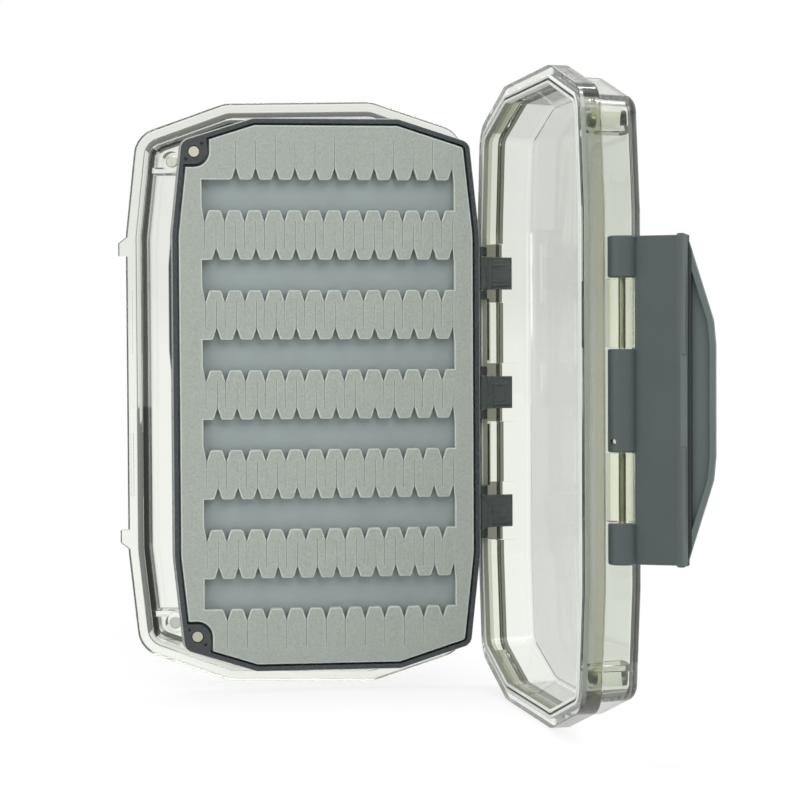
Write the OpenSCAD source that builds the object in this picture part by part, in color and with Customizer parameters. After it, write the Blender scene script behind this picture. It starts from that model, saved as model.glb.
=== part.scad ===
// Clear two-shell fly box with a swinging foam page, shown open and standing on its short end.
// Local frames: x runs away from a hinge axis, y along the hinge, z into a shell's depth.

/* [Shells] */
// Height of the case along its hinge
case_h = 190; // [184:1:210]
// Width of a shell across its rim flange
case_w = 114; // [112:1:126]
// Depth of one shell behind the parting plane
shell_d = 18; // [17:0.5:24]
// Thickness of the shell walls
wall = 2; // [1.7:0.1:2.3]
// Thickness of the shell floors
floor_t = 2; // [1.6:0.1:3]
// Depth of the base's rim flange
flange_h = 3.8; // [3.4:0.1:4.4]
// Depth of the lid's rim flange
lid_flange_h = 6.3; // [5.8:0.1:6.4]
// How far the flange stands out from the shell body
flange_out = 3.1; // [2.6:0.1:3.4]
// Radius round the back edges of the flanges
flange_round = 0.8; // [0.5:0.1:1.1]
// Opening between the two rims when the case is shut
parting_gap = 0.5; // [0.4:0.05:0.7]
// Length of the straight stretch at each short end
end_flat = 48; // [40:1:56]
// How far each shoulder lies in from the long side
shoulder_in = 3.6; // [2.5:0.1:5]
// How far each shoulder lies down from the short end
shoulder_down = 10.15; // [8:0.05:12]
// Length of the straight stretch of each long side
side_straight = 104; // [90:1:116]
// Corner radius at the shoulders
shoulder_r = 9.2; // [7.5:0.1:11]
// Radius round the back edge of a shell
back_r = 2.8; // [2:0.1:4]

/* [Spine hinge] */
// Distance from the hinge axis to the flange edge
edge_gap = 1.2; // [1:0.05:1.5]
// Radius of the spine pin
spine_pin_r = 1; // [0.8:0.05:1.2]
// Radius of the spine knuckles
knuckle_r = 2.6; // [2.3:0.05:2.7]
// Length of the whole row of spine knuckles
hinge_l = 102; // [80:1:116]
// Angle of the lid from shut, as it stands
lid_open = 104.9; // [60:0.1:112]

/* [Gasket] */
// Width of the rim land outside the gasket
gasket_land = 2.7; // [2.3:0.05:2.9]
// Depth of the gasket's seat
gasket_seat = 1.8; // [1.4:0.1:2.2]
// Width of the gasket's outer lip
outer_lip = 1.05; // [0.8:0.05:1.2]
// Width of the gasket's inner lip
inner_lip = 0.6; // [0.4:0.05:0.8]

/* [Page] */
// Thickness of the swinging page
page_t = 9; // [8.4:0.1:9.4]
// Distance from the spine pin to the page's own hinge axis
pivot_s = 8.4; // [8.3:0.05:8.6]
// Angle of the page from shut, as it stands
page_open = 8.5; // [0:0.1:12]
// Distance from the page's hinge axis to its edge
page_near = 0.9; // [0.8:0.05:1]
// Room between the page's free edge and the shell wall
page_room = 1.7; // [1.4:0.05:3]
// Room between the page's ends and the shell walls
page_end_room = 1.5; // [1.3:0.05:4]
// How much lower the page hangs than the middle of the case
page_drop = 0.4; // [0:0.1:0.8]
// Length of the straight stretch at each end of the page
page_end_flat = 46.2; // [40:0.1:50]
// How far the page's shoulders lie in from its long edges
page_shoulder_in = 3.2; // [2.6:0.1:4.5]
// How far the page's shoulders lie down from its ends
page_shoulder_down = 7.4; // [6.8:0.1:10]
// Length of the straight stretch of the page's long edges
page_side_straight = 102; // [90:1:110]
// Corner radius of the page's shoulders
page_shoulder_r = 4.1; // [3:0.1:6]
// How far the page's edge comes to a ridge at mid-thickness
page_bevel = 0.7; // [0.4:0.05:0.8]
// Width of the frame's face round the foam
frame_land = 1.5; // [1.2:0.05:2]
// Black gap between frame and foam
foam_gap = 0.6; // [0.4:0.05:0.9]
// Thickness of the panel between the two foams
panel_t = 1.4; // [1:0.1:2.4]
// Radius of the page magnets
magnet_r = 1.8; // [1.5:0.05:2]
// Distance from the page's free edge to the magnets
magnet_in = 7.75; // [7:0.05:9]
// Distance from the page's ends to the magnets
magnet_end = 11.65; // [10.5:0.05:14]
// Radius of the corner pads that hold the magnets
pad_r = 4; // [3.6:0.1:4.4]

/* [Foam] */
// Number of open rows in the foam
rows = 6; // [4:1:6]
// Height of an open row
row_h = 9.6; // [7:0.1:11]
// Distance from the page's ends to the rows
row_end = 20.35; // [19:0.05:26]
// Distance from the page's hinge axis to the rows
row_near = 9.7; // [8:0.1:14]
// Distance from the page's free edge to the rows
row_far_in = 10.35; // [9:0.05:13]
// Distance from one foam finger to the next
finger_pitch = 6.265; // [6.2:0.01:6.4]
// Width of the notch between two fingers at its mouth
notch_w = 2.6; // [1.6:0.1:4]
// Depth of the notch between two fingers
notch_d = 3.5; // [2:0.1:3.9]

/* [Clips] */
// Width of a clip along the hinge
clip_w = 10.4; // [8:0.1:12]
// Distance from one clip to the next
clip_pitch = 38.5; // [30:0.5:42]
// How deep a clip reaches into the lid
clip_reach = 10.6; // [8.5:0.1:12]
// Radius of the clip's barrel
barrel_r = 1.6; // [1.5:0.05:1.65]
// Radius of the page pins
page_pin_r = 0.8; // [0.7:0.05:0.9]
// Length of the page's ears on each side of a clip
ear_l = 3; // [2.4:0.1:3.6]
// Depth of the pocket in the lid wall behind a clip
pocket_deep = 1.1; // [0.8:0.05:1.2]

/* [Latch] */
// Distance from the lid flange's edge out to the latch pin
latch_out = 1.1; // [1:0.05:1.6]
// Depth of the latch pin behind the parting plane
latch_deep = 10.45; // [10.2:0.05:11.5]
// Length of the latch
latch_l = 88.6; // [84:0.2:90]
// Radius of the latch knuckles
latch_knuckle_r = 3.85; // [3.4:0.05:3.9]
// Length of each end knuckle of the latch
latch_end_l = 11.1; // [8:0.1:14]
// Length of the middle knuckle of the latch
latch_mid_l = 27.8; // [20:0.2:34]
// Thickness of the latch plate
latch_t = 2.85; // [2.4:0.05:3.4]
// How far the latch lip hooks in behind the base flange
lip_hook = 0.8; // [0.4:0.05:1]
// Length of the finger tab past the lip
tab_l = 7.2; // [5:0.1:12]
// Angle of the latch from shut, as it stands
latch_open = 152; // [90:1:160]
// Radius of the latch pin
latch_pin_r = 0.8; // [0.7:0.05:1]

/* [Fits] */
// Radial play of a pin that turns
turn_play = 0.05; // [0.03:0.01:0.09]
// Play of a piece that is pushed into its seat
seat_play = 0.03; // [0.02:0.01:0.05]
// Gap at the ends of knuckles
end_play = 0.3; // [0.25:0.05:0.4]
// Clearance between pieces that swing past each other
swing_gap = 0.35; // [0.3:0.01:0.5]

/* [Hidden] */
$fn = 48;
arc_step = 10;       // degrees between the points of a rounded corner
least_r = 0.6;       // least radius left when a corner is moved in
soft_r = 25;         // radius where a long side starts to draw in
end_r = 11;          // radius where a short end starts to fall away
spine_knuckles = 5;  // knuckles in the row, alternately the base's and the lid's
out = 1;             // overshoot of cuts past open faces

rim_z = parting_gap / 2;
mid_s = edge_gap + case_w / 2;
far_s = edge_gap + case_w;
rim_in = flange_out + wall + 0.05;
draft = 0.25;
inner_z = shell_d - floor_t;
stand_y = (rim_z + flange_h) / 2;

page_far = far_s - rim_in - page_room - pivot_s;
page_w = page_far - page_near;
page_h = case_h - 2 * (rim_in + page_end_room);
face_z = page_t / 2;
recess_in = page_bevel + frame_land;
row_pitch = (page_h - 2 * row_end - row_h) / (rows - 1);
row_l = page_far - row_far_in - row_near;
magnet_x = page_far - magnet_in;
magnet_y = page_h / 2 - magnet_end;
boss_s = pivot_s + magnet_x;
boss_r = 3.6;
boss_z = face_z + 1;
keeper_r = 1.9;
keeper_h = 1.6;
rib_t = 1.9;
rib_y = magnet_y - 2.8;

latch_s = far_s + latch_out;
latch_in = swing_gap + 0.5 - latch_out;
lug_out = 2.6;

// A list of corners [x, y, radius] of the upper right quarter, mirrored to all four quarters
function four_way(q) = let (last = len(q) - 1) concat(
    q,
    [for (i = [last : -1 : 0]) [-q[i].x, q[i].y, q[i].z]],
    [for (c = q) [-c.x, -c.y, c.z]],
    [for (i = [last : -1 : 0]) [q[i].x, -q[i].y, q[i].z]]);

function edge_normal(a, b) = let (e = [b.x - a.x, b.y - a.y]) [e.y, -e.x] / norm(e);

// Outline through rounded corners, moved in by inset; every inset gives the same number of points
function rounded(corners, inset = 0, step = arc_step) = let (n = len(corners)) [
    for (i = [0 : n - 1])
        let (v = corners[i],
             na = edge_normal(corners[(i + n - 1) % n], v),
             nb = edge_normal(v, corners[(i + 1) % n]),
             r = max(v.z - inset, least_r),
             centre = [v.x, v.y] - (inset + r) * (na + nb) / (1 + na * nb),
             turn = acos(min(1, na * nb)),
             start = atan2(na.y, na.x),
             steps = ceil(turn / step))
        for (k = [0 : steps])
            centre + r * [cos(start + turn * k / steps), sin(start + turn * k / steps)]];

case_corners = four_way([
    [case_w / 2, side_straight / 2, soft_r],
    [case_w / 2 - shoulder_in, case_h / 2 - shoulder_down, shoulder_r],
    [end_flat / 2, case_h / 2, end_r]]);

page_corners = four_way([
    [page_w / 2, page_side_straight / 2, soft_r],
    [page_w / 2 - page_shoulder_in, page_h / 2 - page_shoulder_down, page_shoulder_r],
    [page_end_flat / 2, page_h / 2, page_shoulder_r]]);

// Closed solid through one outline at several [depth, inset] stations
module loft(corners, stations) {
    rings = [for (s = stations) rounded(corners, s[1])];
    n = len(rings[0]);
    last = len(stations) - 1;
    points = [for (j = [0 : last]) for (p = rings[j]) [p.x, p.y, stations[j][0]]];
    sides = [for (j = [0 : last - 1]) for (i = [0 : n - 1])
        [j * n + i, (j + 1) * n + i, (j + 1) * n + (i + 1) % n, j * n + (i + 1) % n]];
    bottom = [for (i = [0 : n - 1]) i];
    top = [for (i = [n - 1 : -1 : 0]) last * n + i];
    polyhedron(points, concat([bottom], sides, [top]));
}

// Round bar along y, and a flat section swept along y with its second axis as depth
module rod_y(y0, y1, r) translate([0, y1, 0]) rotate([90, 0, 0]) cylinder(h = y1 - y0, r = r);
module sweep_y(y0, y1) translate([0, y1, 0]) rotate([90, 0, 0]) linear_extrude(y1 - y0) children();
// A face drawn in y and z, given thickness along x
module face_x(x0, x1) translate([x0, 0, 0]) rotate([90, 0, 90]) linear_extrude(x1 - x0) children();

// Frames of the four bodies
module at_spine() translate([mid_s, -stand_y, case_h / 2]) children();
module in_base() at_spine() rotate([90, 0, 180]) children();
module in_lid() at_spine() rotate([0, 0, lid_open]) rotate([-90, 0, 180]) children();
module in_page() at_spine() rotate([0, 0, lid_open]) translate([-pivot_s, 0, 0])
    rotate([0, 0, page_open - lid_open]) rotate([90, 0, 180]) children();
module in_latch() in_lid() translate([latch_s, 0, latch_deep]) rotate([0, -latch_open, 0]) children();

// ---- Shells ----

module case_outline(inset = 0) translate([mid_s, 0]) polygon(rounded(case_corners, inset));

// Solid body of a shell with a rim flange of the given depth
module shell_blank(flange) {
    body_in = flange_out + draft;
    translate([mid_s, 0, 0]) loft(case_corners, [
        [rim_z, 0],
        [flange - flange_round, 0],
        [flange - 0.3 * flange_round, 0.3 * flange_round],
        [flange, flange_round],
        [flange + 0.3, flange_out - 0.6],
        [flange + 0.9, flange_out],
        [shell_d - back_r, body_in],
        [shell_d - 0.38 * back_r, body_in + 0.3 * back_r],
        [shell_d, body_in + back_r]]);
}

module shell_cavity() {
    inner_r = 1.3;
    translate([mid_s, 0, 0]) loft(case_corners, [
        [rim_z - out, rim_in],
        [inner_z - inner_r, rim_in + draft],
        [inner_z - 0.35 * inner_r, rim_in + draft + 0.35 * inner_r],
        [inner_z, rim_in + draft + inner_r]]);
}

// Knuckles number first, first + 2, ... of the spine row
module spine_knuckle_row(first) {
    seg = hinge_l / spine_knuckles;
    for (i = [first : 2 : spine_knuckles - 1]) {
        y0 = -hinge_l / 2 + i * seg + end_play / 2;
        y1 = y0 + seg - end_play;
        rod_y(y0, y1, knuckle_r);
        sweep_y(y0, y1) polygon([
            [0, 0], [0, knuckle_r], [edge_gap, flange_h],
            [edge_gap + 1.2, flange_h], [edge_gap + 1.2, rim_z], [edge_gap, 0]]);
    }
}

// Room in a flange for the other shell's knuckles
module spine_relief(first) {
    seg = hinge_l / spine_knuckles;
    for (i = [first : 2 : spine_knuckles - 1]) {
        y0 = -hinge_l / 2 + i * seg - end_play / 2;
        rod_y(y0, y0 + seg + end_play, knuckle_r + swing_gap);
    }
}

// Corner tubes that carry the keepers, each with a rib to the side wall
module keeper_bosses() {
    rib_z = boss_z + 1.6;
    for (side = [-1, 1])
        translate([boss_s, side * magnet_y, boss_z]) cylinder(h = inner_z - boss_z + out, r = boss_r);
    intersection() {
        translate([0, 0, rib_z]) linear_extrude(inner_z - rib_z + out) case_outline(rim_in - wall / 3);
        for (side = [-1, 1])
            translate([boss_s - boss_r - 2, side * rib_y - rib_t / 2, rib_z])
                cube([far_s, rib_t, shell_d]);
    }
}

module keeper_seats() {
    for (side = [-1, 1])
        translate([boss_s, side * magnet_y, boss_z - out])
            cylinder(h = keeper_h + 0.3 + out, r = keeper_r + seat_play);
}

module keeper(side) color("silver")
    translate([boss_s, side * magnet_y, boss_z + 0.3 - seat_play]) cylinder(h = keeper_h, r = keeper_r);

// Lugs on the base flange that guard the ends of the latch
module latch_guards() {
    near = latch_l / 2 + 0.9;
    for (side = [-1, 1])
        translate([0, 0, rim_z]) linear_extrude(flange_h - rim_z) polygon([
            [far_s - 1.5, side * near], [far_s + lug_out, side * near],
            [far_s + lug_out, side * (near + 4.3)], [far_s, side * (near + 6.3)],
            [far_s - 1.5, side * (near + 6.3)]]);
}

// Two shallow slots behind the base flange where the lip's hooks come to rest
module catch_recesses() {
    slot_l = 21;
    slot_mid = 23.55;
    for (side = [-1, 1])
        translate([far_s - 1.7, side * slot_mid - slot_l / 2, flange_h - 0.7])
            cube([0.9, slot_l, 1.6]);
}

module base_shell() color([0.87, 0.89, 0.86, 0.45]) in_base() difference() {
    union() {
        difference() {
            union() {
                shell_blank(flange_h);
                latch_guards();
            }
            shell_cavity();
            spine_relief(1);
        }
        spine_knuckle_row(0);
        keeper_bosses();
    }
    rod_y(-hinge_l / 2 - out, hinge_l / 2 + out, spine_pin_r + seat_play);
    keeper_seats();
    catch_recesses();
}

module latch_ears() {
    long = (latch_l - latch_mid_l) / 2 - latch_end_l - 2 * end_play;
    y0 = latch_mid_l / 2 + end_play;
    ear_r = latch_knuckle_r - swing_gap;
    root = far_s - flange_out - draft - 0.6;
    for (side = [-1, 1]) {
        ends = side > 0 ? [y0, y0 + long] : [-y0 - long, -y0];
        translate([latch_s, 0, latch_deep]) rod_y(ends[0], ends[1], ear_r);
        sweep_y(ends[0], ends[1]) polygon([
            [root, latch_deep - ear_r], [latch_s, latch_deep - ear_r],
            [latch_s, latch_deep + ear_r], [root, latch_deep + ear_r]]);
    }
}

pocket_x = edge_gap + rim_in - pocket_deep;
pocket_half = clip_w / 2 + end_play + ear_l + 1;

// Hollows in the lid's hinge-side wall that take the clips and the page's ears
module clip_pockets() {
    for (i = [-1 : 1])
        translate([pocket_x, i * clip_pitch - pocket_half, rim_z - out])
            cube([pocket_deep + 1.2, 2 * pocket_half, clip_reach + 1.1 - rim_z + out]);
}

module lid_shell() color([0.85, 0.87, 0.83, 0.45]) in_lid() difference() {
    union() {
        difference() {
            shell_blank(lid_flange_h);
            shell_cavity();
            spine_relief(0);
            translate([0, 0, rim_z - out]) linear_extrude(gasket_seat + out) case_outline(gasket_land);
            clip_pockets();
        }
        spine_knuckle_row(1);
        keeper_bosses();
        latch_ears();
    }
    rod_y(-hinge_l / 2 - out, hinge_l / 2 + out, spine_pin_r + turn_play);
    translate([latch_s, 0, latch_deep])
        rod_y(-latch_l / 2, latch_l / 2, latch_pin_r + seat_play);
    keeper_seats();
}

module spine_pin() color("gainsboro") in_base()
    rod_y(-hinge_l / 2 + end_play, hinge_l / 2 - end_play, spine_pin_r);

// Ring that follows the rim between two insets and two depths
module rim_ring(from, to, z0, z1)
    translate([0, 0, z0]) linear_extrude(z1 - z0) difference() {
        case_outline(from);
        case_outline(to);
    }

// Seal ring with two lips and a groove between them
module lid_gasket() color([0.86, 0.88, 0.86]) in_lid() {
    edge = gasket_land + seat_play;
    inner = rim_in + 0.15;
    lip_z = 0.05;
    groove_z = 0.65;
    union() {
        rim_ring(edge, inner, groove_z, rim_z + gasket_seat - seat_play);
        rim_ring(edge, edge + outer_lip, lip_z, groove_z);
        rim_ring(inner - inner_lip, inner, lip_z, groove_z);
    }
}

// ---- Swinging page ----

module page_outline(inset = 0) translate([page_near + page_w / 2, -page_drop])
    polygon(rounded(page_corners, inset));

// Corner pads round the magnets, running out to the frame, widened by grow
module corner_pads(grow = 0) {
    r = pad_r + grow;
    reach = 7;
    for (side = [-1, 1]) translate([magnet_x, side * magnet_y]) {
        circle(r);
        translate([0, -r]) square([reach, 2 * r]);
        translate([-r, side > 0 ? 0 : -reach]) square([2 * r, reach]);
        translate([0, side > 0 ? 0 : -reach]) square(reach);
    }
}

module each_clip() {
    for (i = [-1 : 1]) translate([0, i * clip_pitch, 0]) children();
}

// Ears of the page on both sides of a clip, with the pin running through them
module page_ears() {
    ear_r = barrel_r - 0.1;
    for (side = [-1, 1]) {
        y0 = clip_w / 2 + end_play;
        ends = side > 0 ? [y0, y0 + ear_l] : [-y0 - ear_l, -y0];
        rod_y(ends[0], ends[1], ear_r);
        sweep_y(ends[0], ends[1]) translate([0, -ear_r]) square([2.6, 2 * ear_r]);
    }
}

page_pin_half = clip_w / 2 + end_play + ear_l - 0.8;

// Grip on the free edge, above the middle
module thumb_tab() {
    tab_mid = 27.6;
    reach = page_near + page_w + 0.55;
    translate([0, 0, -1.5]) linear_extrude(3) polygon([
        [reach - 2.5, tab_mid - 20.5], [reach - 0.6, tab_mid - 20.5], [reach, tab_mid - 13.5],
        [reach, tab_mid + 13.5], [reach - 0.6, tab_mid + 20.5], [reach - 2.5, tab_mid + 20.5]]);
}

module page_frame() color([0.29, 0.33, 0.34]) in_page() difference() {
    union() {
        difference() {
            translate([page_near + page_w / 2, -page_drop, 0])
                loft(page_corners, [[-face_z, page_bevel], [0, 0], [face_z, page_bevel]]);
            translate([0, 0, -face_z - out]) linear_extrude(page_t + 2 * out) difference() {
                page_outline(recess_in);
                corner_pads();
            }
            each_clip() rod_y(-clip_w / 2 - end_play, clip_w / 2 + end_play, barrel_r + swing_gap);
        }
        each_clip() page_ears();
        thumb_tab();
    }
    each_clip() rod_y(-page_pin_half, page_pin_half, page_pin_r + seat_play);
    for (side = [-1, 1]) translate([magnet_x, side * magnet_y, 0]) {
        cylinder(h = page_t + 2 * out, r = magnet_r + seat_play, center = true);
        for (hole = [-1, 1])
            translate([hole * 2.5, hole * side * -2.4, 0])
                for (face = [-1, 1]) translate([0, 0, face * face_z])
                    cylinder(h = 2.4, r = 0.55, center = true);
    }
}

module page_panel() color([0.56, 0.6, 0.6]) in_page()
    translate([0, 0, -panel_t / 2]) linear_extrude(panel_t) difference() {
        page_outline(recess_in + seat_play);
        corner_pads(seat_play);
    }

// Edge of an open row from x0 in steps of the finger pitch, notched towards dir, with its corners;
// a notch that would run past the row's end shares the corner there
function comb(x0, count, y, dir) =
    let (half = notch_w / 2, far = row_near + row_l, last = x0 + (count - 1) * finger_pitch) concat(
        x0 - half > row_near ? [[row_near, y]] : [],
        [for (i = [0 : count - 1])
            let (x = x0 + i * finger_pitch)
            for (p = [[max(x - half, row_near), 0], [x, dir * notch_d], [min(x + half, far), 0]])
                [p[0], y + p[1]]],
        last + half < far ? [[far, y]] : []);

function back_to_front(list) = [for (i = [len(list) - 1 : -1 : 0]) list[i]];

rows_mid = 0.3 - page_drop;

// Row number i from the top: an opening whose two long edges are combs half a pitch apart
module open_row(i) {
    fingers = floor((row_l - 1.5) / finger_pitch) + 1;
    top = rows_mid + ((rows - 1) * row_pitch + row_h) / 2 - i * row_pitch;
    bottom = top - row_h;
    far = row_near + row_l;
    upper_first = row_near + 0.5;
    lower_first = far - 1.25 - (fingers - 1) * finger_pitch;
    upper_count = i == 0 ? fingers - 1 : fingers;
    lower_count = i == rows - 1 ? fingers - 1 : fingers;
    polygon(concat(
        comb(lower_first, lower_count, bottom, -1),
        back_to_front(comb(upper_first, upper_count, top, 1))));
}

module foam_sheet() {
    linear_extrude(face_z - panel_t / 2 - seat_play) difference() {
        page_outline(recess_in + foam_gap);
        corner_pads(foam_gap + 0.2);
        for (i = [0 : rows - 1]) open_row(i);
    }
}

module front_foam() color([0.66, 0.69, 0.66]) in_page() translate([0, 0, -face_z]) foam_sheet();
module back_foam() color([0.66, 0.69, 0.66]) in_page()
    translate([0, 0, panel_t / 2 + seat_play]) foam_sheet();

module page_magnet(side) color("silver") in_page()
    translate([magnet_x, side * magnet_y, 0]) cylinder(h = page_t - 0.8, r = magnet_r, center = true);

module page_pin(i) color("gray") in_page() translate([0, i * clip_pitch, 0])
    rod_y(-page_pin_half + seat_play, page_pin_half - seat_play, page_pin_r);

// Clip number i, counted upwards: a plate in the lid's pocket, a ribbed back and a barrel
module clip(i) color([0.18, 0.2, 0.2]) in_lid() translate([0, -i * clip_pitch, 0]) {
    half = clip_w / 2;
    back = pocket_x + seat_play;
    plate = back + 1.1;
    arm_z = rim_z + gasket_seat + swing_gap;
    arm_x = pivot_s - barrel_r;
    difference() {
        union() {
            translate([pivot_s, 0, 0]) rod_y(-half, half, barrel_r);
            sweep_y(-half, half) polygon([
                [arm_x, 0], [pivot_s, 0], [pivot_s + 0.4, 1.5], [arm_x + 1.2, arm_z + 0.7],
                [plate + 0.5, arm_z + 1.6], [plate, clip_reach - 0.5], [plate - 0.5, clip_reach],
                [back, clip_reach], [back, arm_z], [arm_x, arm_z]]);
            clip_back(plate - 0.3, plate + 1, arm_z);
        }
        translate([pivot_s, 0, 0]) rod_y(-half - out, half + out, page_pin_r + turn_play);
    }
}

// Raised, slightly tapered back of a clip with two ribs along it
module clip_back(x0, x1, z0) {
    near = clip_w / 2 - 0.7;
    far = near - 0.5;
    end = clip_reach - 0.6;
    face_x(x0, x1) polygon([
        [-near, z0], [near, z0], [far, end - 1.2], [far - 1.2, end], [1.2 - far, end], [-far, end - 1.2]]);
    for (side = [-1, 1])
        translate([x1 - 0.2, side * (far - 1.4) - 0.35, z0]) cube([0.55, 0.7, end - z0 - 1.8]);
}

// ---- Latch ----

module latch_pin() color("gainsboro") in_lid() translate([latch_s, 0, latch_deep])
    rod_y(-latch_l / 2 + end_play, latch_l / 2 - end_play, latch_pin_r);

flange_u = latch_deep + flange_h;
lip_u = flange_u + 0.45;
lip_end = lip_u + 3.1;
hook_w = -latch_out - lip_hook;

// Plate and lip in section: first axis outwards, second axis away from the base
module latch_section() {
    outer = latch_in + latch_t;
    root = latch_knuckle_r;
    polygon([
        [latch_in, -root], [outer, -root], [outer, -lip_end], [hook_w + 1, -lip_end],
        [hook_w, -lip_end + 0.6], [hook_w, -lip_u - 2.1], [hook_w + 0.65, -lip_u - 1.15],
        [latch_in, -lip_u]]);
}

// Outline of lip and finger tab: first axis along the latch, second towards the lid
module tab_outline(inset = 0) {
    half = latch_l / 2 + 0.5;
    start = lip_end - 0.6;
    tip = lip_end + tab_l;
    polygon(rounded([
        [half, -start, 1.2], [half, -start + 2.5, 0.6], [-half, -start + 2.5, 0.6], [-half, -start, 1.2],
        [-21.5, -tip + 0.6, 6], [-15, -tip, 6], [15, -tip, 6], [21.5, -tip + 0.6, 6]], inset));
}

module latch() color([0.36, 0.4, 0.4]) in_latch() {
    half = latch_l / 2;
    outer = latch_in + latch_t;
    mid = latch_mid_l / 2;
    spans = [[-half, -half + latch_end_l], [-mid, mid], [half - latch_end_l, half]];
    difference() {
        union() {
            sweep_y(-half, half) latch_section();
            face_x(latch_in, outer) tab_outline();
            for (span = spans) {
                rod_y(span[0], span[1], latch_knuckle_r);
                sweep_y(span[0], span[1]) translate([latch_in, -latch_knuckle_r - 1])
                    square([latch_t, latch_knuckle_r + 1]);
            }
        }
        // scoop behind the lip
        face_x(latch_in - out, outer - 1.2) intersection() {
            tab_outline(1.5);
            translate([-half, -lip_end - tab_l]) square([latch_l, tab_l - 0.9]);
        }
        // lip set back between its two hooks
        translate([hook_w - out, -12.4, -lip_end - out]) cube([out + 0.6, 24.8, lip_end - lip_u + out]);
        // room for the lid's knuckles and for the pin
        for (side = [-1, 1]) {
            y = side > 0 ? [mid, half - latch_end_l] : [latch_end_l - half, -mid];
            rod_y(y[0], y[1], latch_knuckle_r);
        }
        rod_y(-half - out, half + out, latch_pin_r + turn_play);
        // small vent through the middle knuckle, clear of the pin
        translate([0, mid - 2.8, 2]) rotate([0, 90, 0])
            cylinder(h = 4 * latch_knuckle_r, r = 0.9, center = true);
    }
}

base_shell();
lid_shell();
lid_gasket();
spine_pin();
page_frame();
page_panel();
front_foam();
back_foam();
clip(1);  // upper_clip
clip(0);  // middle_clip
clip(-1);  // lower_clip
page_pin(1);  // upper_page_pin
page_pin(0);  // middle_page_pin
page_pin(-1);  // lower_page_pin
page_magnet(1);  // upper_page_magnet
page_magnet(-1);  // lower_page_magnet
in_base() keeper(1);  // upper_base_keeper
in_base() keeper(-1);  // lower_base_keeper
in_lid() keeper(-1);  // upper_lid_keeper
in_lid() keeper(1);  // lower_lid_keeper
latch();
latch_pin();
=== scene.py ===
"""Looks of the open fly box: clear moulded shells, a gasket, a foam page and an edge latch.

Helpers work in millimetres in the part's own local frames: x away from a hinge axis, y along it,
z into a shell's depth. world() turns them into the frame's metres.
"""

import math
import random

import bmesh
import bpy
from mathutils import Matrix, Vector
from mathutils.geometry import tessellate_polygon

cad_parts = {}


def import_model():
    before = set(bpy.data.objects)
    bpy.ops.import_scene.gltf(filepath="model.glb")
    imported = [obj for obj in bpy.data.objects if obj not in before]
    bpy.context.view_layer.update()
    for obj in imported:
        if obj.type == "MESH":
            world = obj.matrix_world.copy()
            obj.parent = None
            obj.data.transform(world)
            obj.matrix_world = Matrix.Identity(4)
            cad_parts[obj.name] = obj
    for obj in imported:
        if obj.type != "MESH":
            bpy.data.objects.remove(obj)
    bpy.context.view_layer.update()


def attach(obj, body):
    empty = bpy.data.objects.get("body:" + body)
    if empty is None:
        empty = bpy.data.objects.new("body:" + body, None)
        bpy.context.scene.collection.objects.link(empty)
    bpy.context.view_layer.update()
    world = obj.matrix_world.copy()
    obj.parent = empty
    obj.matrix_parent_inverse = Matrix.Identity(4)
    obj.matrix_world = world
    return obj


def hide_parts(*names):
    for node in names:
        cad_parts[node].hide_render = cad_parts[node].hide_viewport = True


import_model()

MM = 0.001
IMAGE = 800  # pixels, both ways

# ---- Driving sizes, in millimetres, as in the part's source ----
CASE_H, CASE_W, SHELL_D, WALL, FLOOR_T = 190, 114, 18, 2, 2
FLANGE_H, LID_FLANGE_H, FLANGE_OUT, FLANGE_ROUND, BACK_R = 3.8, 6.3, 3.1, 0.8, 2.8
RIM_Z = 0.25
END_FLAT, SHOULDER_IN, SHOULDER_DOWN, SIDE_STRAIGHT = 48, 3.6, 10.15, 104
SHOULDER_R, SOFT_R, END_R = 9.2, 25, 11
EDGE_GAP, SPINE_PIN_R, KNUCKLE_R, HINGE_L, KNUCKLES = 1.2, 1.0, 2.6, 102, 5
LID_OPEN, PAGE_OPEN, LATCH_OPEN = 104.9, 8.5, 152
GASKET_LAND, GASKET_SEAT, OUTER_LIP, INNER_LIP = 2.7, 1.8, 1.0, 0.95
PAGE_T, PIVOT_S, PAGE_NEAR, PAGE_ROOM, PAGE_END_ROOM, PAGE_DROP = 9, 8.4, 0.9, 1.7, 1.5, 0.4
PAGE_END_FLAT, PAGE_SHOULDER_IN, PAGE_SHOULDER_DOWN = 46.2, 3.2, 7.4
PAGE_SIDE_STRAIGHT, PAGE_SHOULDER_R, PAGE_BEVEL = 102, 4.1, 0.7
FRAME_LAND, FOAM_GAP, PANEL_T = 1.5, 0.6, 1.4
MAGNET_R, MAGNET_IN, MAGNET_END, PAD_R = 1.8, 7.75, 11.65, 4
ROWS, ROW_H, ROW_NEAR, ROW_FAR_IN, ROW_END = 6, 9.6, 9.7, 10.1, 20.35
FINGER_PITCH, NOTCH_D = 6.265, 3.6
CLIP_W, CLIP_PITCH, CLIP_REACH, BARREL_R, PAGE_PIN_R = 10.4, 38.5, 10.6, 1.6, 0.8
EAR_L, POCKET_DEEP = 3, 1.1
LATCH_OUT, LATCH_DEEP, LATCH_L, LATCH_KNUCKLE_R = 1.1, 10.45, 88.6, 3.85
LATCH_END_L, LATCH_MID_L, LATCH_T, LIP_HOOK, TAB_L, LATCH_PIN_R = 11.1, 27.8, 2.85, 0.8, 7.2, 0.8
TURN_PLAY, SEAT_PLAY, END_PLAY, SWING_GAP = 0.05, 0.03, 0.3, 0.35
KEEPER_R, KEEPER_T, KEEPER_SUNK = 1.9, 1.6, 0.27
DRAFT, CORE_DRAFT, BASE_BACK_R = 0.25, 0.6, 1.6

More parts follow.
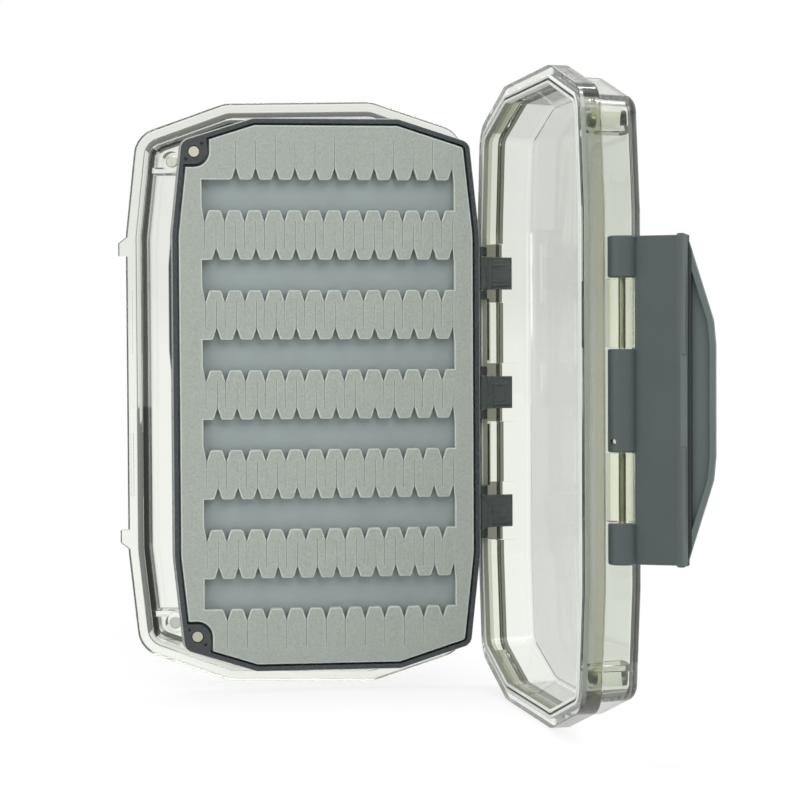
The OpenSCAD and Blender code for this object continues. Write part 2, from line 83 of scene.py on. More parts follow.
# ---- Worked out from them ----
MID_S = EDGE_GAP + CASE_W / 2
FAR_S = EDGE_GAP + CASE_W
RIM_IN = FLANGE_OUT + WALL + 0.05
INNER_Z = SHELL_D - FLOOR_T
STAND_Y = (RIM_Z + FLANGE_H) / 2
PAGE_FAR = FAR_S - RIM_IN - PAGE_ROOM - PIVOT_S
PAGE_W = PAGE_FAR - PAGE_NEAR
PAGE_H = CASE_H - 2 * (RIM_IN + PAGE_END_ROOM)
FACE_Z = PAGE_T / 2
RECESS_IN = PAGE_BEVEL + FRAME_LAND
MAGNET_X = PAGE_FAR - MAGNET_IN
MAGNET_Y = PAGE_H / 2 - MAGNET_END
BOSS_S, BOSS_R, BOSS_Z = PIVOT_S + MAGNET_X, 3.6, FACE_Z + 1
RIB_T, RIB_Y = 1.9, MAGNET_Y - 2.8
ROW_L = PAGE_FAR - ROW_FAR_IN - ROW_NEAR
ROW_PITCH = (PAGE_H - 2 * ROW_END - ROW_H) / (ROWS - 1)
LATCH_S = FAR_S + LATCH_OUT
LATCH_IN = SWING_GAP + 0.5 - LATCH_OUT
LATCH_OUTER = LATCH_IN + LATCH_T
LIP_U = LATCH_DEEP + FLANGE_H + 0.45
LIP_END = LIP_U + 3.1
HOOK_W = -LATCH_OUT - LIP_HOOK
POCKET_X = EDGE_GAP + RIM_IN - POCKET_DEEP
POCKET_HALF = CLIP_W / 2 + END_PLAY + EAR_L + 1
TIGHT = 6  # degrees between the points of a rounded corner


# ---- Frames of the four bodies ----
def turn(axis, degrees):
    return Matrix.Rotation(math.radians(degrees), 4, axis)


SPINE = Matrix.Translation((MID_S, -STAND_Y, CASE_H / 2))
BASE = SPINE @ turn("Z", 180) @ turn("X", 90)
LID = SPINE @ turn("Z", LID_OPEN) @ turn("Z", 180) @ turn("X", -90)
PAGE = (
    SPINE @ turn("Z", LID_OPEN) @ Matrix.Translation((-PIVOT_S, 0, 0))
    @ turn("Z", PAGE_OPEN - LID_OPEN) @ turn("Z", 180) @ turn("X", 90)
)
LATCH = LID @ Matrix.Translation((LATCH_S, 0, LATCH_DEEP)) @ turn("Y", -LATCH_OPEN)
PLACES = {"base": BASE, "lid": LID, "page": PAGE, "latch": LATCH}


# ---- Outlines ----
def four_way(quarter):
    """Corners [x, y, radius] of the upper right quarter, mirrored to all four."""
    back = quarter[::-1]
    return (
        quarter
        + [(-x, y, r) for x, y, r in back]
        + [(-x, -y, r) for x, y, r in quarter]
        + [(x, -y, r) for x, y, r in back]
    )


def rounded(corners, inset=0.0, step=TIGHT, least=0.6):
    """Outline through rounded corners, moved in by inset; the number of points never changes."""
    points = []
    n = len(corners)
    for i in range(n):
        x, y, radius = corners[i]
        before, after = corners[i - 1], corners[(i + 1) % n]
        na = Vector((y - before[1], before[0] - x)).normalized()
        nb = Vector((after[1] - y, x - after[0])).normalized()
        r = max(radius - inset, least)
        centre = Vector((x, y)) - (inset + r) * (na + nb) / (1 + na.dot(nb))
        bend = math.acos(min(1.0, na.dot(nb)))
        start = math.atan2(na.y, na.x)
        steps = max(1, math.ceil(math.degrees(bend) / step))
        for k in range(steps + 1):
            a = start + bend * k / steps
            points.append((centre.x + r * math.cos(a), centre.y + r * math.sin(a)))
    return points


CASE = four_way([
    (CASE_W / 2, SIDE_STRAIGHT / 2, SOFT_R),
    (CASE_W / 2 - SHOULDER_IN, CASE_H / 2 - SHOULDER_DOWN, SHOULDER_R),
    (END_FLAT / 2, CASE_H / 2, END_R),
])
SHEET = four_way([
    (PAGE_W / 2, PAGE_SIDE_STRAIGHT / 2, SOFT_R),
    (PAGE_W / 2 - PAGE_SHOULDER_IN, PAGE_H / 2 - PAGE_SHOULDER_DOWN, PAGE_SHOULDER_R),
    (PAGE_END_FLAT / 2, PAGE_H / 2, PAGE_SHOULDER_R),
])
CASE_MID = (MID_S, 0)
SHEET_MID = (PAGE_NEAR + PAGE_W / 2, -PAGE_DROP)


def arc(cx, cz, r, start, end, steps):
    """Points (inset, depth) of an arc in a profile, angles in degrees."""
    return [
        (cx + r * math.cos(math.radians(start + (end - start) * k / steps)),
         cz + r * math.sin(math.radians(start + (end - start) * k / steps)))
        for k in range(steps + 1)
    ]


# ---- Solids in local millimetres ----
def placed(name, data):
    """Scene object of the given data."""
    obj = bpy.data.objects.new(name, data)
    bpy.context.scene.collection.objects.link(obj)
    return obj


def finished(name, bm):
    """Scene object of a bmesh, which is used up."""
    mesh = bpy.data.meshes.new(name)
    bm.to_mesh(mesh)
    bm.free()
    return placed(name, mesh)


def new_object(name, points, faces):
    mesh = bpy.data.meshes.new(name)
    mesh.from_pydata(points, [], faces)
    bm = bmesh.new()
    bm.from_mesh(mesh)
    bpy.data.meshes.remove(mesh)
    bmesh.ops.recalc_face_normals(bm, faces=bm.faces)
    return finished(name, bm)


def skin(rings, closed):
    """Quads between rings of equal length; closed joins the last ring to the first, else caps."""
    n, count = len(rings[0]), len(rings)
    points = [p for ring in rings for p in ring]
    faces = []
    for j in range(count if closed else count - 1):
        k = (j + 1) % count
        for i in range(n):
            m = (i + 1) % n
            faces.append((j * n + i, k * n + i, k * n + m, j * n + m))
    if not closed:
        faces.append(tuple(range(n)))
        faces.append(tuple(range(count * n - 1, (count - 1) * n - 1, -1)))
    return points, faces


def swept(name, corners, middle, profile, closed=False, step=TIGHT, least=0.05):
    """Solid whose section is profile, a list of (inset, depth), carried round an outline."""
    rings = [
        [(x + middle[0], y + middle[1], depth) for x, y in rounded(corners, inset, step, least)]
        for inset, depth in profile
    ]
    return new_object(name, *skin(rings, closed))


def prism(name, outline, place, d0, d1):
    """Straight solid: place(a, b, d) puts a point of the outline at depth d."""
    rings = [[place(a, b, d) for a, b in outline] for d in (d0, d1)]
    return new_object(name, *skin(rings, False))


def across(a, b, d):  # section in x and z, carried along y
    return (a, d, b)


def facing(a, b, d):  # face in y and z, thickness along x
    return (d, a, b)


def flat(a, b, d):  # face in x and y, thickness along z
    return (a, b, d)


def circle(cx, cy, r, count=48):
    return [
        (cx + r * math.cos(2 * math.pi * k / count), cy + r * math.sin(2 * math.pi * k / count))
        for k in range(count)
    ]


def box(name, x0, x1, y0, y1, z0, z1):
    return prism(name, [(x0, y0), (x1, y0), (x1, y1), (x0, y1)], flat, z0, z1)


def rod_y(name, x, z, r, y0, y1, count=48, chamfer=0.0):
    """Round bar along y, with chamfered ends if asked."""
    if not chamfer:
        return prism(name, circle(x, z, r, count), across, y0, y1)
    stations = [(r - chamfer, y0), (r, y0 + chamfer), (r, y1 - chamfer), (r - chamfer, y1)]
    rings = [[across(a, b, y) for a, b in circle(x, z, radius, count)] for radius, y in stations]
    return new_object(name, *skin(rings, False))


def bore(x, z, r, half, count=48):
    """Step for combine(): a hole along y."""
    return CUT, rod_y("bore", x, z, r, -half, half, count)


def joined(name, parts):
    """One object of several that don't overlap."""
    bm = bmesh.new()
    for part in parts:
        bm.from_mesh(part.data)
        drop(part)
    return finished(name, bm)


def drop(obj):
    mesh = obj.data
    bpy.data.objects.remove(obj)
    bpy.data.meshes.remove(mesh)


def bake(obj):
    """Applies the object's modifiers."""
    view = bpy.context.evaluated_depsgraph_get()
    old = obj.data
    obj.data = bpy.data.meshes.new_from_object(obj.evaluated_get(view))
    obj.modifiers.clear()
    bpy.data.meshes.remove(old)
    return obj


ADD, CUT = "UNION", "DIFFERENCE"


def combine(target, steps):
    """steps is a list of (operation, object); each object is used up."""
    for operation, tool in steps:
        m = target.modifiers.new("cut", "BOOLEAN")
        m.operation, m.object, m.solver = operation, tool, "MANIFOLD"
    bake(target)
    for _, tool in steps:
        drop(tool)
    return target


def clean(obj, planar=0.4):
    """Merges flat neighbours left by cuts back into whole faces."""
    bm = bmesh.new()
    bm.from_mesh(obj.data)
    bmesh.ops.remove_doubles(bm, verts=bm.verts, dist=0.002)
    bmesh.ops.dissolve_limit(bm, angle_limit=math.radians(planar), verts=bm.verts, edges=bm.edges)
    bm.to_mesh(obj.data)
    bm.free()
    return obj


def soften(obj, width, segments=2, angle=32):
    """Small rounding along every sharp edge."""
    m = obj.modifiers.new("edge", "BEVEL")
    m.width, m.segments, m.limit_method = width, segments, "ANGLE"
    m.angle_limit = math.radians(angle)
    return bake(obj)


def shade(obj, sharp=38):
    """Smooth shading that keeps flats flat and edges over the angle sharp."""
    obj.data.polygons.foreach_set("use_smooth", [True] * len(obj.data.polygons))
    obj.data.set_sharp_from_angle(angle=math.radians(sharp))
    m = obj.modifiers.new("flats", "WEIGHTED_NORMAL")
    m.keep_sharp, m.weight = True, 80
    return bake(obj)


def split(obj, depths):
    """Divides the faces of a solid at the given depths, so that they can be told apart."""
    bm = bmesh.new()
    bm.from_mesh(obj.data)
    for depth in depths:
        bmesh.ops.bisect_plane(
            bm, geom=bm.verts[:] + bm.edges[:] + bm.faces[:], dist=0.0005,
            plane_co=(0, 0, depth), plane_no=(0, 0, 1),
        )
    bm.to_mesh(obj.data)
    bm.free()
    return obj


def inset_at(x, y, corners=CASE, middle=CASE_MID):
    """How far a point lies inside an outline, the case's if not told."""
    best = 1e9
    points = rounded(corners)
    p = Vector((x - middle[0], y - middle[1]))
    for a, b in zip(points, points[1:] + points[:1]):
        a, ab = Vector(a), Vector(b) - Vector(a)
        share = max(0.0, min(1.0, (p - a).dot(ab) / max(ab.dot(ab), 1e-12)))
        best = min(best, (p - a - share * ab).length)
    return best


def world(obj, body, material, slot, *nodes, rule=None):
    """Takes a finished solid from local millimetres to the frame, on its body. Where
    rule(middle, normal) names another material, that face gets it."""
    worn = [rule and rule(p.center.copy(), p.normal.copy()) or material for p in obj.data.polygons]
    used = list(dict.fromkeys([material] + worn))
    obj.data.transform(Matrix.Scale(MM, 4) @ PLACES[body])
    obj.data.materials.clear()
    for each in used:
        obj.data.materials.append(each)
    obj.data.polygons.foreach_set("material_index", [used.index(each) for each in worn])
    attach(obj, body)
    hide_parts(*nodes)
    return obj


# ---- Materials ----
def srgb(text):
    """Linear colour of a hex colour."""
    values = [int(text[i:i + 2], 16) / 255 for i in (0, 2, 4)]
    return tuple(
        v / 12.92 if v <= 0.04045 else ((v + 0.055) / 1.055) ** 2.4 for v in values
    ) + (1.0,)


class Tree:
    """Small helper round a node tree."""

    def __init__(self, tree):
        self.tree = tree

    def add(self, kind, **values):
        node = self.tree.nodes.new("ShaderNode" + kind)
        for key, value in values.items():
            setattr(node, key, value)
        return node

    def link(self, a, b):
        self.tree.links.new(a, b)

    def feed(self, socket, value):
        """Links a socket, or sets it to a constant."""
        if isinstance(value, (float, int, tuple)):
            socket.default_value = value
        else:
            self.link(value, socket)

    def math(self, operation, *values):
        node = self.add("Math", operation=operation)
        for socket, value in zip(node.inputs, values):
            self.feed(socket, value)
        return node.outputs[0]

    def to_range(self, value, low, high, start=0.3, end=0.7):
        node = self.add("MapRange")
        for key, number in zip(("From Min", "From Max", "To Min", "To Max"), (start, end, low, high)):
            node.inputs[key].default_value = number
        self.link(value, node.inputs["Value"])
        return node.outputs["Result"]

    def blend(self, factor, a, b):
        """Mix of two shader nodes."""
        node = self.add("MixShader")
        for socket, value in zip(node.inputs, (factor, a.outputs[0], b.outputs[0])):
            self.link(value, socket)
        return node


class Nodes(Tree):
    """The same round a new material's."""

    def __init__(self, name):
        self.material = bpy.data.materials.new(name)
        self.material.use_nodes = True
        super().__init__(self.material.node_tree)
        self.shader = self.tree.nodes["Principled BSDF"]
        self.output = self.tree.nodes["Material Output"]
        self.place = self.add("TexCoord").outputs["Object"]

    def noise(self, scale, detail=3.0, roughness=0.5, stretch=None):
        """Noise with scale in features per metre, stretched along the axes if asked."""
        node = self.add("TexNoise")
        node.inputs["Scale"].default_value = scale
        node.inputs["Detail"].default_value = detail
        node.inputs["Roughness"].default_value = roughness
        source = self.place
        if stretch:
            mapping = self.add("Mapping")
            mapping.inputs["Scale"].default_value = stretch
            self.link(source, mapping.inputs["Vector"])
            source = mapping.outputs["Vector"]
        self.link(source, node.inputs["Vector"])
        return node.outputs["Fac"]

    def ramp(self, value, stops):
        """Colours over a value; stops are (position, linear colour)."""
        node = self.add("ValToRGB")
        ramp = node.color_ramp
        ramp.elements[0].position, ramp.elements[0].color = stops[0]
        ramp.elements[1].position, ramp.elements[1].color = stops[-1]
        for position, colour in stops[1:-1]:
            ramp.elements.new(position).color = colour
        self.link(value, node.inputs["Fac"])
        return node.outputs["Color"]

    def bump(self, value, distance, strength=1.0, under=None):
        node = self.add("Bump")
        node.inputs["Strength"].default_value = strength
        node.inputs["Distance"].default_value = distance
        self.link(value, node.inputs["Height"])
        if under is not None:
            self.link(under, node.inputs["Normal"])
        return node.outputs["Normal"]

    def mix(self, factor, a, b, blend="MIX"):
        node = self.add("Mix", data_type="RGBA", blend_type=blend)
        for socket, value in ((node.inputs[0], factor), (node.inputs[6], a), (node.inputs[7], b)):
            self.feed(socket, value)
        return node.outputs[2]

    def set(self, **values):
        """Constants on the shader's own sockets, by name with _ for a space."""
        for key, value in values.items():
            self.shader.inputs[key.replace("_", " ")].default_value = value

    def drive(self, **values):
        for key, value in values.items():
            self.link(value, self.shader.inputs[key.replace("_", " ")])


def shades(text, darker, lighter):
    """Three stops round a colour: darker, itself and lighter, as factors."""
    c = srgb(text)

    def scaled(k):
        return tuple(min(1.0, v * k) for v in c[:3]) + (1.0,)

    return [(0.25, scaled(darker)), (0.5, c), (0.75, scaled(lighter))]


def clear_plastic(name, face=(0.9, 0.92, 0.865), grazing=None, ior=1.5):
    """Clear moulding; lamps pass through it. A grazing colour is painted shade: the dark that thick walls
    show edge-on by reflection and refraction, mixed in by the view angle.
    The tint is on the faces, so that every zone of a shell can have its own painted shade or light."""
    n = Nodes(name)
    n.set(Transmission_Weight=1.0, IOR=ior, Base_Color=(*face, 1))
    if grazing:
        facing = n.add("LayerWeight").outputs["Facing"]
        n.drive(Base_Color=n.ramp(facing, [(0.55, (*face, 1)), (0.76, (*grazing, 1))]))
    waves = n.noise(28, 2.0, 0.4, (1, 1, 0.35))
    n.drive(Normal=n.bump(waves, 0.00025, 0.25))
    n.drive(Roughness=n.to_range(n.noise(260, 4.0, 0.6), 0.012, 0.05))
    lamps = n.add("BsdfTransparent")
    lamps.inputs["Color"].default_value = (0.95, 0.96, 0.95, 1)
    to_lamp = n.add("LightPath").outputs["Is Shadow Ray"]
    n.link(n.blend(to_lamp, n.shader, lamps).outputs[0], n.output.inputs["Surface"])
    return n.material


def moulded(name, colour, rough, grain, height, streak=0.0, specular=0.5):
    """Opaque moulded plastic: faint mottling, a fine grain and slightly uneven gloss."""
    n = Nodes(name)
    mottle = n.ramp(n.noise(70, 4.0, 0.6), shades(colour, 0.93, 1.06))
    if streak:
        flow = n.ramp(n.noise(900, 3.0, 0.7, (1, 1, 0.04)), shades("808080", 1 - streak, 1 + streak))
        mottle = n.mix(0.35, mottle, flow, "SOFT_LIGHT")
    n.drive(Base_Color=mottle)
    n.set(Specular_IOR_Level=specular)
    n.drive(Roughness=n.to_range(n.noise(420, 3.0, 0.6), rough - 0.06, rough + 0.08))
    n.drive(Normal=n.bump(n.noise(grain, 2.0, 0.6), height, 0.6))
    return n.material


def foam_material(name, colour):
    """Closed-cell foam: pale speckle, fine cells and a soft sheen."""
    n = Nodes(name)
    cells = n.add("TexVoronoi")
    cells.inputs["Scale"].default_value = 2600
    n.link(n.place, cells.inputs["Vector"])
    speck = n.ramp(n.noise(1500, 3.0, 0.7), shades(colour, 0.86, 1.13))
    cloud = n.ramp(n.noise(45, 3.0, 0.5), shades("808080", 0.94, 1.06))
    n.drive(Base_Color=n.mix(0.5, speck, cloud, "SOFT_LIGHT"))
    n.set(Roughness=0.92, Specular_IOR_Level=0.25, Sheen_Weight=0.12, Sheen_Roughness=0.5)
    coarse = n.bump(n.noise(700, 3.0, 0.6), 0.00022, 0.5)
    n.drive(Normal=n.bump(cells.outputs["Distance"], 0.0001, 0.45, coarse))
    return n.material


def metal(name, colour, rough, brush):
    """Bare metal with faint brushing across brush, a stretch along the axes."""
    n = Nodes(name)
    lines = n.noise(1800, 2.0, 0.6, brush)
    n.drive(Base_Color=n.ramp(lines, shades(colour, 0.88, 1.06)))
    n.set(Metallic=1.0)
    n.drive(Roughness=n.to_range(lines, rough - 0.05, rough + 0.12))
    n.drive(Normal=n.bump(lines, 0.00002, 0.3))
    return n.material


# The clear shells' zones: tinted copies of the clear plastic whose painted shade, and on the lid's floor
# painted light, stand in for what their thick, bent or edge-on parts show by refraction and reflection
CLEAR = clear_plastic("clear_shell")
# painted shade: darker grazing tints in bands on the base's inner wall
CLEAR_WALL_SHADE = clear_plastic("clear_wall_painted_shade", grazing=(0.02, 0.024, 0.019), ior=1.06)
CLEAR_OLIVE_SHADE = clear_plastic("clear_olive_painted_shade", grazing=(0.1, 0.11, 0.06), ior=1.06)
# painted light: a lighter copy that refracts less, for the lid's floor
CLEAR_LID_LIGHT = clear_plastic("clear_lid_painted_light", face=(0.93, 0.95, 0.9), ior=1.38)
# painted shade: darker tints on the lid's rim, flange, inner walls, pocket edges, ears and rounded back, and
# on the base's rounded back
CLEAR_DEEP_SHADE = clear_plastic("clear_deep_painted_shade", face=(0.33, 0.35, 0.25))
CLEAR_RIM_SHADE = clear_plastic("clear_rim_painted_shade", face=(0.27, 0.29, 0.26))
CLEAR_FLANGE_SHADE = clear_plastic("clear_flange_painted_shade", face=(0.26, 0.265, 0.175))
CLEAR_BAND_SHADE = clear_plastic("clear_band_painted_shade", face=(0.74, 0.79, 0.65))
CLEAR_EXIT_SHADE = clear_plastic("clear_exit_painted_shade", face=(0.68, 0.73, 0.62), ior=1.12)
CLEAR_LINE_SHADE = clear_plastic("clear_line_painted_shade", face=(0.05, 0.053, 0.033))
CLEAR_BACK_SHADE = clear_plastic("clear_back_painted_shade", face=(0.14, 0.15, 0.135))
CLEAR_EAR_SHADE = clear_plastic("clear_ear_painted_shade", face=(0.8, 0.83, 0.63), ior=1.2)
CLEAR_SOFT = clear_plastic("clear_soft", face=(0.86, 0.89, 0.8), ior=1.14)
SEAL = moulded("gasket", "dcdfda", 0.45, 900, 0.00003, specular=0.45)
# painted shade: a darker copy of the seal for its groove and inner skirt
SEAL_SHADE = moulded("gasket_painted_shade", "868a7c", 0.6, 900, 0.00003, specular=0.3)
FRAME = moulded("frame_plastic", "343a3c", 0.24, 1600, 0.00003, streak=0.04, specular=0.55)
# painted highlight: a lighter copy of the frame plastic for its slanted front bevel
FRAME_HIGHLIGHT = moulded("frame_painted_highlight", "8f9794", 0.3, 1600, 0.00003, specular=0.5)
PANEL = moulded("panel_plastic", "8d9796", 0.5, 500, 0.00003, specular=0.35)
FOAM = foam_material("foam", "a7ada6")
# painted highlight: a lighter copy of the foam for its rounded edges
FOAM_HIGHLIGHT = foam_material("foam_painted_highlight", "c3c9c2")
CLIP = moulded("clip_plastic", "484e4c", 0.3, 900, 0.00003, specular=0.4)
LATCHED = moulded("latch_plastic", "4c5655", 0.4, 1300, 0.00004, streak=0.05, specular=0.35)
# painted light on the lip, the tab's rim and the scoop floor; painted shade in the lip's root
LATCH_LIP_LIT = moulded("latch_lip_painted_light", "5f6a68", 0.35, 1300, 0.00004, streak=0.05, specular=0.4)
LATCH_DISH_LIT = moulded("latch_dish_painted_light", "5c6765", 0.45, 1300, 0.00004, streak=0.05, specular=0.3)
LATCH_ROOT_SHADE = moulded("latch_root_painted_shade", "2b3030", 0.5, 1300, 0.00004, specular=0.3)
STEEL = metal("pin_steel", "b9bab8", 0.28, (1, 1, 0.03))
MAGNET = metal("magnet", "b9b8a2", 0.42, (1, 0.4, 1))
KEEPER = metal("keeper_steel", "c4c6ba", 0.3, (1, 0.2, 1))


# ---- Shells ----
def on_inner_wall(middle, normal, inset):
    """True for a face of a shell's inner wall that looks towards the middle of the shell."""
    facing_in = normal.x * (MID_S - middle.x) - normal.y * middle.y > 0
    return facing_in and RIM_IN - 0.15 < inset < RIM_IN + 0.85


def shell_profile(flange, back_r):
    """Section of a shell from the middle of its floor inside, over the rim, to its back."""
    inner_r, edge, fillet = 1.3, 0.25, 0.6
    body_in = FLANGE_OUT + DRAFT
    inside = arc(RIM_IN + CORE_DRAFT + inner_r, INNER_Z - inner_r, inner_r, 90, 180, 6)
    rim = [(RIM_IN, RIM_Z + 0.15), (RIM_IN - 0.15, RIM_Z)]
    outer = arc(edge, RIM_Z + edge, edge, -90, -180, 4)
    shoulder = arc(FLANGE_ROUND, flange - FLANGE_ROUND, FLANGE_ROUND, 180, 90, 6)
    cove = arc(FLANGE_OUT - fillet, flange + 0.3 + fillet, fillet, -90, 0, 5)
    back = arc(body_in + back_r, SHELL_D - back_r, back_r, 180, 90, 8)
    return inside + rim + outer + shoulder + cove + back


def knuckle_spans(first, spare):
    """Ends of every second knuckle along the spine, from the first on, moved apart by spare."""
    edges = [-HINGE_L / 2 + i * HINGE_L / KNUCKLES for i in range(KNUCKLES + 1)]
    return [(a - spare, b + spare) for a, b in list(zip(edges, edges[1:]))[first::2]]


def knuckle_row(name, first):
    end = EDGE_GAP + 1.2
    tongue = [(0, 0), (0, KNUCKLE_R), (EDGE_GAP, FLANGE_H), (end, FLANGE_H), (end, RIM_Z), (EDGE_GAP, 0)]
    parts = []
    for y0, y1 in knuckle_spans(first, -END_PLAY / 2):
        barrel = rod_y(name, 0, 0, KNUCKLE_R, y0, y1, chamfer=0.2)
        parts.append(combine(barrel, [(ADD, prism(name, tongue, across, y0, y1))]))
    return joined(name, parts)


def knuckle_relief(name, first):
    spans = knuckle_spans(first, END_PLAY / 2)
    return joined(name, [rod_y(name, 0, 0, KNUCKLE_R + SWING_GAP, y0, y1) for y0, y1 in spans])


def turned(name, x, y, stations, count=48):
    """Solid of revolution along z from (radius, depth) stations."""
    rings = [[(a, b, z) for a, b in circle(x, y, r, count)] for r, z in stations]
    return new_object(name, *skin(rings, False))


def bosses(name):
    """Corner tubes that carry the keepers, with a rib from each to the side wall."""
    rib_z = BOSS_Z + 1.6
    tubes = joined(name, [
        turned(name, BOSS_S, side * MAGNET_Y,
               [(BOSS_R - 0.25, BOSS_Z), (BOSS_R, BOSS_Z + 0.25), (BOSS_R, INNER_Z + 0.5)])
        for side in (-1, 1)
    ])
    ribs = joined(name, [
        box(name, BOSS_S - 1, FAR_S, side * RIB_Y - RIB_T / 2, side * RIB_Y + RIB_T / 2,
            rib_z, SHELL_D + 1)
        for side in (-1, 1)
    ])
    room = swept(name, CASE, CASE_MID, [(RIM_IN - WALL / 3, rib_z), (RIM_IN - WALL / 3, INNER_Z + 0.5)])
    combine(ribs, [("INTERSECT", room)])
    return combine(tubes, [(ADD, ribs)])


def keeper_seats(name):
    return joined(name, [
        prism(name, circle(BOSS_S, side * MAGNET_Y, KEEPER_R + SEAT_PLAY), flat, BOSS_Z - 1, BOSS_Z + 1.9)
        for side in (-1, 1)
    ])


def make_base():
    shell = swept("base_shell_look", CASE, CASE_MID, shell_profile(FLANGE_H, BASE_BACK_R))
    near = LATCH_L / 2 + 0.9
    guards = joined("guards", [
        prism("guard", [
            (FAR_S - 1.5, side * near), (FAR_S + 2.6, side * near), (FAR_S + 2.6, side * (near + 4.3)),
            (FAR_S, side * (near + 6.3)), (FAR_S - 1.5, side * (near + 6.3)),
        ], flat, RIM_Z, FLANGE_H)
        for side in (-1, 1)
    ])
    catches = joined("catches", [
        box("catch", FAR_S - 1.7, FAR_S - 0.8, side * 23.55 - 10.5, side * 23.55 + 10.5,
            FLANGE_H - 0.7, FLANGE_H + 0.9)
        for side in (-1, 1)
    ])
    combine(shell, [
        (ADD, soften(clean(guards), 0.3)),
        (CUT, knuckle_relief("relief", 1)),
        (ADD, knuckle_row("knuckles", 0)),
        (ADD, bosses("bosses")),
        bore(0, 0, SPINE_PIN_R + SEAT_PLAY, HINGE_L / 2 + 1),
        (CUT, keeper_seats("seats")),
        (CUT, catches),
    ])

    mouth, wall_end, olive_end = 0.9, 7.8, 9.4  # depths at which the inner wall's painted shade changes

    # painted shade: the inner wall's bands, darker edge-on, and the rounded back get darker copies of the
    # clear plastic
    def zone(middle, normal):
        z = middle.z
        if abs(normal.z) < 0.35 and on_inner_wall(middle, normal, inset_at(middle.x, middle.y)):
            if abs(normal.y) > 0.7:
                return CLEAR_WALL_SHADE if z > wall_end else None
            return CLEAR_WALL_SHADE if mouth < z < wall_end else CLEAR_OLIVE_SHADE if wall_end < z < olive_end else None
        return CLEAR_EXIT_SHADE if z > SHELL_D - BASE_BACK_R - 0.1 and 0.1 < normal.z < 0.98 else None

    split(clean(shell, 0.05), [mouth, wall_end, olive_end])
    world(shade(shell, 30), "base", CLEAR, "clear_shell", "base_shell", rule=zone)


def latch_ears():
    long = (LATCH_L - LATCH_MID_L) / 2 - LATCH_END_L - 2 * END_PLAY
    y0 = LATCH_MID_L / 2 + END_PLAY
    r = LATCH_KNUCKLE_R - SWING_GAP
    root = FAR_S - FLANGE_OUT - DRAFT - 0.6
    low, high = LATCH_DEEP - r, LATCH_DEEP + r
    web = [(root, low), (LATCH_S, low), (LATCH_S, high), (root, high)]
    parts = []
    for side in (-1, 1):
        a, b = sorted((side * y0, side * (y0 + long)))
        barrel = rod_y("ear", LATCH_S, LATCH_DEEP, r, a, b, chamfer=0.25)
        parts.append(combine(barrel, [(ADD, prism("web", web, across, a + 0.1, b - 0.1))]))
    return joined("ears", parts)


def make_lid():
    shell = swept("lid_shell_look", CASE, CASE_MID, shell_profile(LID_FLANGE_H, BACK_R))
    land = swept("land", CASE, CASE_MID, [(GASKET_LAND, RIM_Z - 1), (GASKET_LAND, RIM_Z + GASKET_SEAT)])
    mouth, end = POCKET_X + POCKET_DEEP + 1.2, CLIP_REACH + 1.1
    section = [(POCKET_X, RIM_Z - 1), (mouth, RIM_Z - 1), (mouth, end + 1.1), (POCKET_X, end - 0.9)]
    pockets = joined("pockets", [
        prism("pocket", section, across, i * CLIP_PITCH - POCKET_HALF, i * CLIP_PITCH + POCKET_HALF)
        for i in (-1, 0, 1)
    ])
    combine(shell, [
        (CUT, land),
        (CUT, knuckle_relief("relief", 0)),
        (CUT, soften(clean(pockets), 0.25)),
        (ADD, knuckle_row("knuckles", 1)),
        (ADD, bosses("bosses")),
        (ADD, latch_ears()),
        bore(0, 0, SPINE_PIN_R + TURN_PLAY, HINGE_L / 2 + 1),
        bore(LATCH_S, LATCH_DEEP, LATCH_PIN_R + SEAT_PLAY, LATCH_L / 2, 32),
        (CUT, keeper_seats("seats")),
    ])

    deep_end, band_end, line_end = 3.2, 6.0, 7.4  # depths at which the walls' painted shade changes
    flat_in = 6.2  # inset from which the floor and the back are flat

    # painted shade: darker copies of the clear plastic on the rim, flange, inner walls, pocket edges, ears
    # and rounded back; painted light: a lighter one on the floor
    def zone(middle, normal):
        x, y, z = middle
        inset = inset_at(x, y)
        free = x > MID_S + 45  # the side away from the hinge
        if abs(normal.z) > 0.97 and z > INNER_Z - 0.3 and inset > flat_in:
            return CLEAR_LID_LIGHT
        if x > MID_S and inset < flat_in and z > SHELL_D - BACK_R and normal.z > 0.1:
            return CLEAR_BACK_SHADE
        if x > FAR_S - 3.0 and z > LID_FLANGE_H + 0.1:
            return CLEAR_EAR_SHADE
        near_boss = math.hypot(x - BOSS_S, abs(y) - MAGNET_Y) < BOSS_R + 0.2 and z < INNER_Z - 0.05
        on_rib = abs(abs(y) - RIB_Y) < RIB_T / 2 + 0.05 and x > BOSS_S and BOSS_Z < z < INNER_Z
        if near_boss or on_rib:
            return CLEAR_SOFT
        pocket_end = abs(normal.y) > 0.9
        if x < EDGE_GAP + 6.3 and inset > 3.9 and z < CLIP_REACH + 2.3 and (
                pocket_end or inset < 4.95 and z > 2.1 or z > CLIP_REACH):
            return CLEAR_SOFT if z > line_end or pocket_end else CLEAR_LINE_SHADE
        if abs(normal.z) > 0.6:
            on_rim = x > EDGE_GAP + 3 and normal.z < -0.9 and z < 0.4 and inset < GASKET_LAND
            return CLEAR_RIM_SHADE if on_rim else None
        if on_inner_wall(middle, normal, inset):
            if z < deep_end:
                return CLEAR_BAND_SHADE if free else CLEAR_DEEP_SHADE
            return None if free or z > line_end else CLEAR_BAND_SHADE if z < band_end else CLEAR_LINE_SHADE
        if inset < 0.9 and x > EDGE_GAP + 8 and z < LID_FLANGE_H:
            return CLEAR_RIM_SHADE if z < deep_end else CLEAR_FLANGE_SHADE

    split(clean(shell, 0.05), [deep_end, band_end, line_end])
    world(shade(shell, 30), "lid", CLEAR, "clear_shell", "lid_shell", rule=zone)


